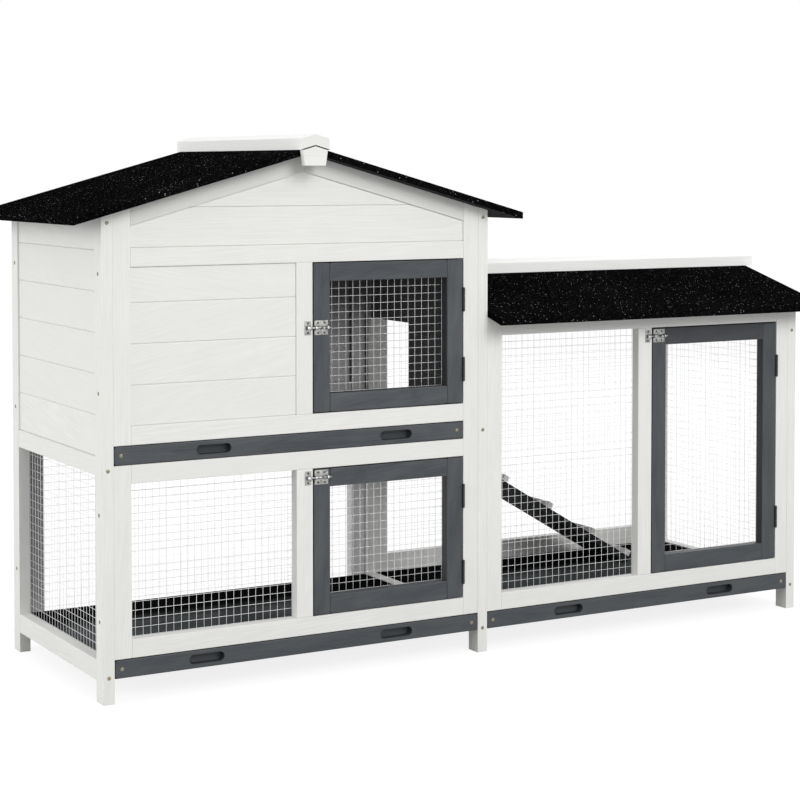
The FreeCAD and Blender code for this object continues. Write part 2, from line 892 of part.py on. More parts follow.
# Ramp: drawn along its slope from the hinge axis, then turned down about that axis
ramp_axis = FreeCAD.Vector(run_left + knuckle_radius, 0, side_middle_bottom + ramp_hinge_rise)
ramp_sine = math.sin(math.radians(ramp_angle))
ramp_cosine = math.cos(math.radians(ramp_angle))
ramp_foot_height = lower_tray_bottom + tray_floor_rise + ramp_foot_gap
ramp_underside = knuckle_radius + ramp_board
ramp_reach = (ramp_axis.z - ramp_underside * ramp_cosine - ramp_foot_height) / ramp_sine


def ramp_piece(u0, u1, y0, y1, v0, v1):
    # u runs down the slope from the axis, v stands square to it
    piece = block(ramp_axis.x + u0, ramp_axis.x + u1, y0, y1, ramp_axis.z + v0, ramp_axis.z + v1)
    piece.rotate(ramp_axis, FreeCAD.Vector(0, 1, 0), ramp_angle)
    return piece


def ramp_hinges():
    # the leaves on the partition rail with their pins, and the leaves on the board
    fixed = []
    moving = []
    ramp_back = ramp_front + ramp_width
    length = (ramp_hinge_width - knuckle_gap * 2) / 3
    for y0 in (ramp_front + ramp_hinge_inset, ramp_back - ramp_hinge_inset - ramp_hinge_width):
        y1 = y0 + ramp_hinge_width
        bore = rod(
            pin_radius + pin_clearance,
            FreeCAD.Vector(ramp_axis.x, y0 - cut_overrun, ramp_axis.z),
            FreeCAD.Vector(ramp_axis.x, y1 + cut_overrun, ramp_axis.z),
        )
        starts = [y0 + i * (length + knuckle_gap) for i in range(3)]
        barrels = [
            rod(
                knuckle_radius,
                FreeCAD.Vector(ramp_axis.x, start, ramp_axis.z),
                FreeCAD.Vector(ramp_axis.x, start + length, ramp_axis.z),
            )
            for start in starts
        ]
        plate = block(
            run_left, run_left + ramp_leaf, y0, y1,
            ramp_axis.z + knuckle_radius + knuckle_gap, ramp_axis.z + ramp_leaf_length,
        )
        for i in (0, 2):
            tongue = block(
                run_left, run_left + ramp_leaf, starts[i], starts[i] + length,
                ramp_axis.z, ramp_axis.z + ramp_leaf_length,
            )
            plate = plate.fuse(tongue).fuse(barrels[i])
        fixed.append(plate.cut(bore))
        fixed.append(rod(
            pin_radius,
            FreeCAD.Vector(ramp_axis.x, y0 - pin_head, ramp_axis.z),
            FreeCAD.Vector(ramp_axis.x, y1 + pin_head, ramp_axis.z),
        ))
        under = -knuckle_radius
        leaf = ramp_piece(
            ramp_head_gap, ramp_head_gap + ramp_leaf_length, y0, y1, under, under + ramp_leaf,
        )
        tongue = ramp_piece(
            0, ramp_head_gap + ramp_leaf_length, starts[1], starts[1] + length,
            under, under + ramp_leaf,
        )
        moving.append(leaf.fuse(tongue).fuse(barrels[1]).cut(bore))
    save("ramp_hinges", moving)
    return fixed


def ramp():
    ramp_back = ramp_front + ramp_width
    top = -knuckle_radius
    save("ramp_board", [
        ramp_piece(ramp_head_gap, ramp_reach, ramp_front, ramp_back, -ramp_underside, top)
    ])
    last = ramp_reach - cleat_tip - cleat_width
    starts = []
    u = cleat_first
    while u + cleat_width * 3 < last:
        starts.append(u)
        u += cleat_pitch
    save("ramp_cleats", [
        ramp_piece(
            u, u + cleat_width, ramp_front + cleat_inset, ramp_back - cleat_inset,
            top, top + cleat_height,
        )
        for u in starts + [last]
    ])


if __name__ == "__main__":
    os.makedirs("parts", exist_ok=True)
    posts()
    house_front_frame()
    house_walls()
    house_back_frame()
    left_side()
    partition()
    run_frames()
    fixed_meshes()
    main_roof()
    run_roof()
    tray("upper_tray", house_left, door_right, upper_tray_bottom, upper_slot_shares)
    tray("lower_tray", house_left, house_right, lower_tray_bottom, lower_slot_shares)
    tray("run_tray", run_left, run_right, lower_tray_bottom, run_slot_shares)
    runners()
    frame_leaves = doors() + ramp_hinges()
    save("frame_hinges", frame_leaves)
    ramp()
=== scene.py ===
import bpy, bmesh, json, math, random
from mathutils import Vector, Matrix

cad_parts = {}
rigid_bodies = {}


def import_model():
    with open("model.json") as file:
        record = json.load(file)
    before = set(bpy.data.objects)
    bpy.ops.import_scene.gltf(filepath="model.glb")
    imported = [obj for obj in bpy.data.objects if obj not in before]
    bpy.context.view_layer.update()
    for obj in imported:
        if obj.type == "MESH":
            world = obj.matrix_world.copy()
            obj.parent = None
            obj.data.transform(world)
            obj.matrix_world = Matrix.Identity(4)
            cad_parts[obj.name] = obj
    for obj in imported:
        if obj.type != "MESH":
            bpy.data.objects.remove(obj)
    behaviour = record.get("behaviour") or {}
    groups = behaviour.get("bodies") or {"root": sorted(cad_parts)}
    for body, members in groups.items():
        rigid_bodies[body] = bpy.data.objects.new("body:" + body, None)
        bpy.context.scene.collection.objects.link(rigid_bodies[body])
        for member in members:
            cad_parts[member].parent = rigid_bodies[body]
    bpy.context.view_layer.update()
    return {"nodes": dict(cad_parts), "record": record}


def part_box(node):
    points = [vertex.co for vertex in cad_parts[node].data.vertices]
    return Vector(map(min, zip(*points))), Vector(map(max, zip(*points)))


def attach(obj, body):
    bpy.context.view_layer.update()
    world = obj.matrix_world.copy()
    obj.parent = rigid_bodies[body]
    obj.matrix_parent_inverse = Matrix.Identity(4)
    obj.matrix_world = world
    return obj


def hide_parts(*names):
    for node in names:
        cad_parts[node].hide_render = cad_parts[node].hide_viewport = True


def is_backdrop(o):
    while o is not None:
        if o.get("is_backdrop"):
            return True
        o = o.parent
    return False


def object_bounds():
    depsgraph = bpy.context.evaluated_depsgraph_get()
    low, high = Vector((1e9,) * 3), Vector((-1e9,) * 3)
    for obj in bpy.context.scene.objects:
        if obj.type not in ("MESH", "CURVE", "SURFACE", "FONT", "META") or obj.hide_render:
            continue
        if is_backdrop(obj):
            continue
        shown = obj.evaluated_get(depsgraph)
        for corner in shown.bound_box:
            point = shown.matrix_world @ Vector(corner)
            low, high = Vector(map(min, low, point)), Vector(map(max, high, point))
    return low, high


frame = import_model()
nodes = frame["nodes"]
bodyOf = {node: body for body, held in frame["record"]["behaviour"]["bodies"].items() for node in held}
mm = 0.001
print("hutch frame loaded,", len(nodes), "nodes")


# camera, floor and light
viewer = {"place": (-1.83145, -3.1405, 0.850), "heading": 29.794, "down": 2.109, "lens": 89.235,
          "sensor": 36, "shiftX": -0.00547, "shiftY": -0.20}
cameraData = bpy.data.cameras.new("viewer")
cameraData.lens = viewer["lens"]
cameraData.sensor_width = viewer["sensor"]
cameraData.shift_x = viewer["shiftX"]
cameraData.shift_y = viewer["shiftY"]
camera = bpy.data.objects.new("viewer", cameraData)
camera.location = viewer["place"]
camera.rotation_euler = (math.radians(90 - viewer["down"]), 0, -math.radians(viewer["heading"]))
bpy.context.scene.collection.objects.link(camera)
bpy.context.scene.camera = camera
bpy.context.scene.view_settings.view_transform = "Standard"


class Term:
    # a socket that takes part in sums
    def __init__(self, finish, socket):
        self.finish = finish
        self.socket = socket

    def sum(self, operation, other, turned=False):
        pair = [other, self] if turned else [self, other]
        return self.finish.node("ShaderNodeMath", {"operation": operation}, dict(enumerate(pair)))

    def __add__(self, other):
        return self.sum("ADD", other)

    def __radd__(self, other):
        return self.sum("ADD", other, True)

    def __sub__(self, other):
        return self.sum("SUBTRACT", other)

    def __rsub__(self, other):
        return self.sum("SUBTRACT", other, True)

    def __mul__(self, other):
        return self.sum("MULTIPLY", other)

    def __rmul__(self, other):
        return self.sum("MULTIPLY", other, True)

    def __gt__(self, other):
        return self.sum("GREATER_THAN", other)


class Finish:
    # one material or world and its nodes
    def __init__(self, name, made=None):
        self.material = made or bpy.data.materials.new(name)
        self.material.use_nodes = True
        self.tree = self.material.node_tree
        self.tree.nodes.clear()

    def node(self, kind, settings=None, values=None, out=0):
        made = self.tree.nodes.new(kind)
        for key, value in (settings or {}).items():
            setattr(made, key, value)
        for key, value in (values or {}).items():
            if isinstance(value, Term):
                self.tree.links.new(value.socket, made.inputs[key])
            else:
                made.inputs[key].default_value = value
        if isinstance(out, tuple):
            return [Term(self, made.outputs[one]) for one in out]
        return Term(self, made.outputs[out]) if made.outputs else None

    def mix(self, share, first, second):
        # between two colours, by a share from 0 to 1
        colours = [(*colour, 1) if isinstance(colour, tuple) else colour for colour in (first, second)]
        return self.node("ShaderNodeMix", {"data_type": "RGBA"}, {0: share, 6: colours[0], 7: colours[1]}, 2)

    def stretch(self, place, factors):
        return self.node("ShaderNodeVectorMath", {"operation": "MULTIPLY"}, {0: place, 1: factors})

    def clamp(self, value, low, high):
        # a value from low to high becomes 0 to 1
        return self.node("ShaderNodeMapRange", {"clamp": True}, {0: value, 1: low, 2: high, 3: 0.0, 4: 1.0})

    def noise(self, place, scale, detail=2.0, rough=0.5, twist=0.0):
        return self.node("ShaderNodeTexNoise", None, {
            "Vector": place, "Scale": scale, "Detail": detail, "Roughness": rough, "Distortion": twist})

    def split(self, vector, out):
        return self.node("ShaderNodeSeparateXYZ", None, {0: vector}, out)

    def seen(self):
        # 1 for rays from the camera, a mirror or through glass
        rays = self.node("ShaderNodeLightPath", None, None,
                         ("Is Camera Ray", "Is Glossy Ray", "Is Transmission Ray"))
        return rays[0].sum("MAXIMUM", rays[1]).sum("MAXIMUM", rays[2])

    def bump(self, height, strength, depth):
        return self.node("ShaderNodeBump", None, {"Strength": strength, "Distance": depth, "Height": height})

    def surface(self, **values):
        named = {key.replace("_", " "): value for key, value in values.items()}
        shader = self.node("ShaderNodeBsdfPrincipled", None, named)
        self.node("ShaderNodeOutputMaterial", None, {0: shader})
        return self.material


# lit and glow make the floor that the camera sees, plain is the one that throws light on the hutch
floorLook = {"half": 30.0, "lit": 0.24, "glow": 0.84, "plain": 0.52}


def makeFloor():
    mesh = bpy.data.meshes.new("floor")
    half = floorLook["half"]
    corners = [(-half, -half, 0), (half, -half, 0), (half, half, 0), (-half, half, 0)]
    mesh.from_pydata(corners, [], [(0, 1, 2, 3)])
    floor = bpy.data.objects.new("floor", mesh)
    bpy.context.scene.collection.objects.link(floor)
    finish = Finish("pale floor")
    lit = finish.node("ShaderNodeBsdfDiffuse", None, {"Color": (floorLook["lit"],) * 3 + (1,)})
    glow = finish.node("ShaderNodeEmission", None, {"Color": (1, 1, 1, 1), "Strength": floorLook["glow"]})
    shown = finish.node("ShaderNodeAddShader", None, {0: lit, 1: glow})
    plain = finish.node("ShaderNodeBsdfDiffuse", None, {"Color": (floorLook["plain"],) * 3 + (1,)})
    both = finish.node("ShaderNodeMixShader", None, {0: finish.seen(), 1: plain, 2: shown})
    finish.node("ShaderNodeOutputMaterial", None, {0: both})
    mesh.materials.append(finish.material)
    floor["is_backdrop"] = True


# sky is what the world lights the hutch with, shown what the camera sees of it
light = {"sky": 0.70, "shown": 1.0, "lamps": [
    {"name": "key", "place": (0.4, -4.8, 3.3), "aim": (0, 0, 0.35), "size": 3.0, "power": 141.0},
    {"name": "side", "place": (-4.2, 0.2, 1.4), "aim": (0, 0, 0.35), "size": 2.6, "power": 58.0},
    {"name": "far side", "place": (3.9, 2.8, 2.0), "aim": (0, 0, 0.35), "size": 2.6, "power": 34.0},
    {"name": "upper room", "place": (-0.25, -0.12, 0.47), "aim": (-0.20, 0.20, 0.47), "size": 0.10,
     "power": 0.115},
]}


def makeLight():
    world = bpy.data.worlds.new("studio")
    bpy.context.scene.world = world
    finish = Finish("studio", world)
    sky, white = [finish.node("ShaderNodeBackground", None, {"Color": (1, 1, 1, 1), "Strength": strength})
                  for strength in (light["sky"], light["shown"])]
    both = finish.node("ShaderNodeMixShader", None, {0: finish.seen(), 1: sky, 2: white})
    finish.node("ShaderNodeOutputWorld", None, {0: both})
    for lamp in light["lamps"]:
        data = bpy.data.lights.new(lamp["name"], "AREA")
        data.shape = "DISK"
        data.size = lamp["size"]
        data.energy = lamp["power"]
        holder = bpy.data.objects.new(lamp["name"], data)
        holder.location = lamp["place"]
        holder.rotation_euler = (Vector(lamp["aim"]) - holder.location).to_track_quat("-Z", "Y").to_euler()
        bpy.context.scene.collection.objects.link(holder)


makeFloor()
makeLight()
print("camera, floor and light set")


# finishes

# how fibres, year rings, patches and knots lie on every board, stretched along and across it
grain = {"fibre": (9.0, 420.0, 1.0), "fibreSpan": (0.40, 0.66), "fibreRise": 0.6, "fibreRough": 0.12,
         "sway": (3.0, 16.0, 1.0), "rings": 62.0, "ringFibre": 1.5, "ringSpan": (0.1, 1.0), "ringRise": 0.4,
         "patches": (7.0, 30.0, 1.0), "patchSpan": (0.38, 0.68),
         "knotLength": 2.2, "knotSpan": (0.02, 0.10), "knotDip": 0.5, "depth": 0.4 * mm}


def woodFinish(name, look):
    # painted or bare pine: fibres along the board, year rings as slow bands, knots, a tone for each board;
    # boardUv holds metres along and across a board, boardMarks its tone and a 1 on sawn ends
    finish = Finish(name)
    place = finish.node("ShaderNodeUVMap", {"uv_map": "boardUv"})
    tone, sawn = finish.split(finish.node("ShaderNodeUVMap", {"uv_map": "boardMarks"}), (0, 1))
    fibre = finish.noise(finish.stretch(place, grain["fibre"]), 1.0, detail=4.0, rough=0.6)
    sway = finish.noise(finish.stretch(place, grain["sway"]), 1.0, detail=2.0, rough=0.5, twist=0.6)
    rings = finish.node("ShaderNodeMath", {"operation": "SINE"}, {
        0: sway * grain["rings"] + fibre * grain["ringFibre"]})
    rings = finish.clamp(rings, *grain["ringSpan"])
    distance, shade = finish.node("ShaderNodeTexVoronoi", None, {
        "Vector": finish.stretch(place, (look["knots"], look["knots"] * grain["knotLength"], 1.0)),
        "Scale": 1.0}, ("Distance", "Color"))
    chosen = finish.split(shade, 0) > look["knotShare"]
    near = 1.0 - finish.clamp(distance, *grain["knotSpan"])
    knot = near * chosen * (1.0 - sawn)
    patch = finish.noise(finish.stretch(place, grain["patches"]), 1.0, detail=3.0, rough=0.55)
    colour = finish.mix(rings * look["ringShare"], look["colour"], look["ring"])
    colour = finish.mix(finish.clamp(fibre, *grain["fibreSpan"]) * look["fibreShare"], colour, look["fibre"])
    colour = finish.mix(finish.clamp(patch, *grain["patchSpan"]) * look["patchShare"], colour, look["patch"])
    colour = finish.mix(knot * look["knotDepth"], colour, look["knot"])
    colour = finish.mix(sawn * look["endShare"], colour, look["end"])
    colour = finish.mix((tone - 0.5) * look["toneShare"] + look["toneShare"] * 0.5, colour, look["shade"])
    if "dim" in look:
        # painted shade: darker from one height to another, as in a closed room
        spot = finish.node("ShaderNodeTexCoord", None, None, "Object")
        up = finish.clamp(finish.split(spot, 2), look["dimFrom"], look["dimTo"])
        colour = finish.mix(up, colour, look["dim"])
    height = fibre * grain["fibreRise"] + rings * grain["ringRise"] - knot * grain["knotDip"]
    return finish.surface(
        Base_Color=colour,
        Roughness=look["rough"] + fibre * grain["fibreRough"],
        Specular_IOR_Level=look["shine"],
        Normal=finish.bump(height, look["relief"], grain["depth"]))


whiteLook = {
    "colour": (0.825, 0.825, 0.80), "ring": (0.755, 0.75, 0.71), "ringShare": 0.25,
    "patch": (0.75, 0.75, 0.725), "patchShare": 0.55, "fibre": (0.67, 0.665, 0.63), "fibreShare": 0.50,
    "knots": 5.0, "knotShare": 0.72, "knotDepth": 0.42, "knot": (0.56, 0.50, 0.38),
    "end": (0.74, 0.73, 0.69), "endShare": 0.5,
    "shade": (0.765, 0.765, 0.745), "toneShare": 0.6, "rough": 0.50, "shine": 0.30, "relief": 0.38}
whitePaint = woodFinish("white paint", whiteLook)
# a lighter white for the ridge caps, as painted light: the black felt round them sends them little light
capPaintWithPaintedLight = woodFinish("white cap paint, lighter as painted light", {
    **whiteLook, "colour": (0.95, 0.95, 0.93), "ring": (0.90, 0.895, 0.87), "patch": (0.90, 0.90, 0.88),
    "fibre": (0.82, 0.815, 0.79), "shade": (0.91, 0.91, 0.89)})
# a darker white for the barge boards, as painted shade from the roof's eaves
bargePaintWithPaintedShade = woodFinish("white barge paint, darker as painted shade", {
    **whiteLook, "colour": (0.715, 0.715, 0.69), "ring": (0.655, 0.65, 0.615), "patch": (0.65, 0.65, 0.63),
    "fibre": (0.58, 0.575, 0.545), "shade": (0.665, 0.665, 0.645)})
greyLook = {
    "colour": (0.066, 0.073, 0.081), "ring": (0.046, 0.052, 0.059), "ringShare": 0.60,
    "patch": (0.118, 0.126, 0.134), "patchShare": 0.55, "fibre": (0.030, 0.034, 0.040), "fibreShare": 0.60,
    "knots": 6.0, "knotShare": 0.74, "knotDepth": 0.65, "knot": (0.026, 0.029, 0.033),
    "end": (0.056, 0.062, 0.069), "endShare": 0.5, "shade": (0.054, 0.060, 0.067), "toneShare": 0.5,
    "rough": 0.46, "shine": 0.30, "relief": 0.60}
greyPaint = woodFinish("slate paint", greyLook)
sidePaint = woodFinish("slate paint in shade", {
    **greyLook, "colour": (0.040, 0.044, 0.048), "patch": (0.066, 0.071, 0.076),
    "shade": (0.034, 0.037, 0.041)})
# near black slate as painted shade, for the gaps round doors and tray fronts and the joint under the main cap
gapShadePaint = woodFinish("dark slate, painted shade in gaps and joints", {
    "colour": (0.007, 0.008, 0.009), "ring": (0.006, 0.006, 0.007), "ringShare": 0.5,
    "patch": (0.012, 0.013, 0.014), "patchShare": 0.4, "fibre": (0.012, 0.013, 0.014), "fibreShare": 0.4,
    "knots": 6.0, "knotShare": 0.78, "knotDepth": 0.3, "knot": (0.005, 0.005, 0.006),
    "end": (0.006, 0.006, 0.007), "endShare": 0.5, "shade": (0.006, 0.006, 0.007), "toneShare": 0.5,
    "rough": 0.60, "shine": 0.0, "relief": 0.40})
# inner faces of the house; dim is painted shade, which the colour reaches above dimTo
innerLook = {
    "colour": (0.80, 0.80, 0.80), "ring": (0.76, 0.76, 0.76), "ringShare": 0.4, "patch": (0.74, 0.74, 0.74),
    "patchShare": 0.3, "fibre": (0.70, 0.70, 0.70), "fibreShare": 0.3, "knots": 5.0, "knotShare": 0.90,
    "knotDepth": 0.15, "knot": (0.58, 0.57, 0.55), "end": (0.70, 0.70, 0.70), "endShare": 0.5,
    "shade": (0.75, 0.75, 0.75), "toneShare": 0.5, "rough": 0.60, "shine": 0.20, "relief": 0.35,
    "dimFrom": 0.51, "dimTo": 0.61, "dim": (0.16, 0.16, 0.16)}
shadePaint = woodFinish("inner paint", innerLook)
# the partition's inner faces: painted shade over all but their lowest tenth of a metre
partitionShadePaint = woodFinish("inner paint with painted shade away from the door", {
    **innerLook, "dimFrom": 0.0, "dimTo": 0.1, "dim": (0.13, 0.13, 0.13)})
# the back left corner: painted shade over all but its lowest tenth of a metre
cornerShadePaint = woodFinish("inner paint with painted shade in the corner", {
    **innerLook, "dimFrom": 0.0, "dimTo": 0.1, "dim": (0.30, 0.30, 0.30)})
# beside the doorway: painted shade above the upper floor
doorwayShadePaint = woodFinish("inner paint with painted shade beside the doorway", {
    **innerLook, "dimFrom": 0.385, "dimTo": 0.405, "dim": (0.15, 0.15, 0.15)})
paleCleat = woodFinish("pale cleat", {
    "colour": (0.80, 0.80, 0.78), "ring": (0.70, 0.69, 0.66), "ringShare": 0.5, "patch": (0.66, 0.65, 0.62),
    "patchShare": 0.5, "fibre": (0.62, 0.61, 0.58), "fibreShare": 0.5, "knots": 6.0, "knotShare": 0.85,
    "knotDepth": 0.5, "knot": (0.30, 0.27, 0.22), "end": (0.50, 0.48, 0.44), "endShare": 0.5,
    "shade": (0.54, 0.53, 0.50), "toneShare": 0.5, "rough": 0.60, "shine": 0.25, "relief": 0.5})
barePine = woodFinish("bare pine", {
    "colour": (0.60, 0.55, 0.46), "ring": (0.52, 0.45, 0.35), "ringShare": 0.6, "patch": (0.52, 0.47, 0.39),
    "patchShare": 0.4, "fibre": (0.50, 0.44, 0.35), "fibreShare": 0.5, "knots": 6.0, "knotShare": 0.70,
    "knotDepth": 0.7, "knot": (0.30, 0.20, 0.12), "end": (0.45, 0.38, 0.28), "endShare": 0.6,
    "shade": (0.50, 0.45, 0.37), "toneShare": 0.5, "rough": 0.60, "shine": 0.30, "relief": 0.5})
darkRamp = woodFinish("dark stained ramp", {
    "colour": (0.017, 0.018, 0.019), "ring": (0.012, 0.013, 0.014), "ringShare": 0.5,
    "patch": (0.026, 0.027, 0.028), "patchShare": 0.5, "fibre": (0.028, 0.029, 0.030), "fibreShare": 0.4,
    "knots": 6.0, "knotShare": 0.78, "knotDepth": 0.4, "knot": (0.014, 0.014, 0.014),
    "end": (0.034, 0.034, 0.034), "endShare": 0.5, "shade": (0.026, 0.028, 0.030), "toneShare": 0.5,
    "rough": 0.60, "shine": 0.02, "relief": 0.5})


def feltFinish():
    # bitumen felt: black mineral grains, a few of which carry painted glints in their colour, over a slow
    # unevenness
    look = {"ground": (0.0020, 0.0020, 0.0021), "grain": (0.0038, 0.0038, 0.0040),
            "paintedGlint": (0.44, 0.45, 0.46), "pale": (0.058, 0.058, 0.060), "glintShare": 0.988,
            "paleShare": 0.82, "grains": 600.0,
            "grainSpan": (0.25, 0.60), "drift": 7.0, "glintSpan": (0.25, 0.50), "groundSpan": (0.3, 0.7),
            "grainRise": 0.7, "fine": 900.0, "fineRise": 0.5, "rough": 0.92, "glintGloss": 0.4,
            "relief": 0.7, "depth": 0.6 * mm}
    finish = Finish("mineral felt")
    place = finish.node("ShaderNodeTexCoord", None, None, "Object")
    distance, shade = finish.node("ShaderNodeTexVoronoi", None, {"Vector": place, "Scale": look["grains"]},
                                  ("Distance", "Color"))
    pick = finish.split(shade, 0)
    size = 1.0 - finish.clamp(distance, *look["grainSpan"])
    drift = finish.noise(place, look["drift"], detail=3.0)
    bright = (pick > look["glintShare"]) * size * finish.clamp(drift, *look["glintSpan"])
    pale = (pick > look["paleShare"]) * size
    colour = finish.mix(finish.clamp(drift, *look["groundSpan"]), look["ground"], look["grain"])
    colour = finish.mix(pale * finish.clamp(pick, look["paleShare"], 1.0), colour, look["pale"])
    colour = finish.mix(bright, colour, look["paintedGlint"])
    height = size * look["grainRise"] + finish.noise(place, look["fine"], detail=1.0) * look["fineRise"]
    return finish.surface(Base_Color=colour, Roughness=look["rough"] - bright * look["glintGloss"],
                          Normal=finish.bump(height, look["relief"], look["depth"]), Specular_IOR_Level=0.0)


def trayFinish():
    # coated board: a faint pebbled face and rubbed patches, and painted shade that makes it near black
    # towards the back
    look = {"colour": (0.055, 0.060, 0.061), "rubbed": (0.088, 0.096, 0.098), "clouds": 9.0,
            "rubbedSpan": (0.3, 0.75), "rearShade": (0.0055, 0.0058, 0.0060), "rearSpan": (0.055, 0.115),
            "rearSway": 0.05, "pebbles": 700.0, "rough": 0.62, "cloudRough": 0.25, "relief": 0.3,
            "depth": 0.3 * mm}
    finish = Finish("tray sheet")
    place = finish.node("ShaderNodeTexCoord", None, None, "Object")
    cloud = finish.noise(place, look["clouds"], detail=4.0)
    pebble = finish.noise(place, look["pebbles"], detail=2.0)
    rearShade = finish.clamp(finish.split(place, 1) + cloud * look["rearSway"], *look["rearSpan"])
    colour = finish.mix(finish.clamp(cloud, *look["rubbedSpan"]), look["colour"], look["rubbed"])
    colour = finish.mix(rearShade, colour, look["rearShade"])
    return finish.surface(Base_Color=colour, Roughness=look["rough"] + cloud * look["cloudRough"],
                          Specular_IOR_Level=0.0, Normal=finish.bump(pebble, look["relief"], look["depth"]))


plating = {"scratches": (900.0, 120.0, 900.0), "wornSpan": (0.3, 0.7), "relief": 0.15, "depth": 0.1 * mm}


def metalFinish(name, look):
    # plated or coated steel: cloudy tone, fine scratches and a brushed roughness
    finish = Finish(name)
    place = finish.node("ShaderNodeTexCoord", None, None, "Object")
    cloud = finish.noise(place, look["cloud"], detail=3.0)
    fine = finish.noise(finish.stretch(place, plating["scratches"]), 1.0, detail=2.0)
    colour = finish.mix(finish.clamp(cloud, *plating["wornSpan"]), look["colour"], look["worn"])
    return finish.surface(Base_Color=colour, Metallic=look["metal"],
                          Roughness=look["rough"] + fine * look["roughSpan"],
                          Normal=finish.bump(fine, plating["relief"], plating["depth"]))


zinc = metalFinish("bright zinc", {
    "colour": (0.62, 0.63, 0.64), "worn": (0.45, 0.46, 0.47), "cloud": 160.0, "metal": 1.0,
    "rough": 0.26, "roughSpan": 0.20})
# the bolts: darker zinc whose near black cloudy patches are painted dark reflections
boltZinc = metalFinish("darkened zinc with painted dark reflections", {
    "colour": (0.46, 0.46, 0.46), "worn": (0.12, 0.12, 0.13), "cloud": 190.0, "metal": 1.0,
    "rough": 0.22, "roughSpan": 0.20})
plateZinc = metalFinish("dull zinc", {
    "colour": (0.50, 0.50, 0.48), "worn": (0.20, 0.20, 0.19), "cloud": 260.0, "metal": 0.9,
    "rough": 0.38, "roughSpan": 0.20})
screwSteel = metalFinish("dark zinc", {
    "colour": (0.13, 0.13, 0.12), "worn": (0.07, 0.07, 0.065), "cloud": 300.0, "metal": 0.9,
    "rough": 0.35, "roughSpan": 0.15})
brass = metalFinish("yellow zinc", {
    "colour": (0.36, 0.33, 0.24), "worn": (0.20, 0.18, 0.13), "cloud": 300.0, "metal": 0.9,
    "rough": 0.32, "roughSpan": 0.15})
blackSteel = metalFinish("black steel", {
    "colour": (0.020, 0.020, 0.021), "worn": (0.040, 0.040, 0.042), "cloud": 120.0, "metal": 0.3,
    "rough": 0.40, "roughSpan": 0.15})
wireZinc = metalFinish("galvanised wire", {
    "colour": (0.96, 0.965, 0.97), "worn": (0.88, 0.89, 0.90), "cloud": 60.0, "metal": 0.85,
    "rough": 0.30, "roughSpan": 0.2})
felt = feltFinish()
traySheet = trayFinish()
print("finishes mixed")


# timber pieces, each board with its eased edges and its own run of grain
easing = {"flat": math.radians(0.6), "sharp": math.radians(28), "profile": 0.6}


def looseSolids(node):
    # the solids of a CAD node, one after another, as meshes with whole flat faces;
    # corners are matched to a micrometre
    mesh = nodes[node].data
    spots = [tuple(round(value, 6) for value in vert.co) for vert in mesh.vertices]
    solids, held, unpaired = [], [], set()
    for triangle in mesh.polygons:
        corners = [spots[i] for i in triangle.vertices]
        held.append(corners)
        for i, corner in enumerate(corners):
            unpaired ^= {frozenset((corner, corners[i - 1]))}
        if not unpaired:
            solids.append(held)
            held = []
    if held:
        solids.append(held)
    parts = []
    for triangles in solids:
        part = bmesh.new()
        made = {}
        for corners in triangles:
            if len(set(corners)) < 3:
                continue
            verts = [made.get(spot) or made.setdefault(spot, part.verts.new(spot)) for spot in corners]
            if part.faces.get(verts) is None:
                part.faces.new(verts)
        bmesh.ops.dissolve_limit(part, angle_limit=easing["flat"], verts=part.verts, edges=part.edges)
        part.normal_update()
        parts.append(part)
    return parts


def easeEdges(part, width, steps=2, only=None):
    edges = [edge for edge in part.edges if len(edge.link_faces) == 2
             and edge.calc_face_angle(0) > easing["sharp"] and (only is None or only(edge))]
    if edges and width:
        bmesh.ops.bevel(part, geom=edges, offset=width, segments=steps, profile=easing["profile"],
                        affect="EDGES", clamp_overlap=True)
    part.normal_update()


boardGrain = {"forward": Vector((1, 1.01, 1.02)), "starts": 40, "sawn": 0.8, "around": 0.31, "above": 0.17}


def grainWay(part):
    # along the longest edge of the board, towards the right, the back or the top
    longest = max(part.edges, key=lambda edge: edge.calc_length())
    way = (longest.verts[1].co - longest.verts[0].co).normalized()
    return way if way.dot(boardGrain["forward"]) > 0 else -way


def layGrain(part, way, chance):
    # each board has a start and a tone of its own, and each of its sides another stretch of grain
    placeLayer = part.loops.layers.uv.new("boardUv")
    markLayer = part.loops.layers.uv.new("boardMarks")
    start = Vector((chance.uniform(0, boardGrain["starts"]), chance.uniform(0, boardGrain["starts"])))
    tone = chance.random()
    side = way.orthogonal().normalized()
    for face in part.faces:
        sawn = abs(face.normal.dot(way)) > boardGrain["sawn"]
        across = side if sawn else face.normal.cross(way).normalized()
        along = way.cross(side) if sawn else way
        turn = boardGrain["around"] * round(math.atan2(face.normal.y, face.normal.x) * 2)
        turn += boardGrain["above"] * round(face.normal.z)
        for loop in face.loops:
            spot = loop.vert.co
            loop[placeLayer].uv = (spot.dot(along) + start.x, spot.dot(across) + start.y + turn)
            loop[markLayer].uv = (tone, 1.0 if sawn else 0.0)


def gather(name, parts, materials, body, replaced):
    # one object from its finished parts, riding on its body
    joined = bmesh.new()
    for part in parts:
        mesh = bpy.data.meshes.new("part")
        part.to_mesh(mesh)
        part.free()
        joined.from_mesh(mesh)
        bpy.data.meshes.remove(mesh)
    mesh = bpy.data.meshes.new(name)
    joined.to_mesh(mesh)
    joined.free()
    for material in materials:
        mesh.materials.append(material)
    piece = bpy.data.objects.new(name, mesh)
    bpy.context.scene.collection.objects.link(piece)
    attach(piece, body)
    if replaced:
        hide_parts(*replaced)
    return piece


def toOutline(spot, low, high):
    # how near a spot is to the outline of a flat piece seen from the front
    return min(abs(spot[axis] - end[axis]) for axis in (0, 2) for end in (low, high))


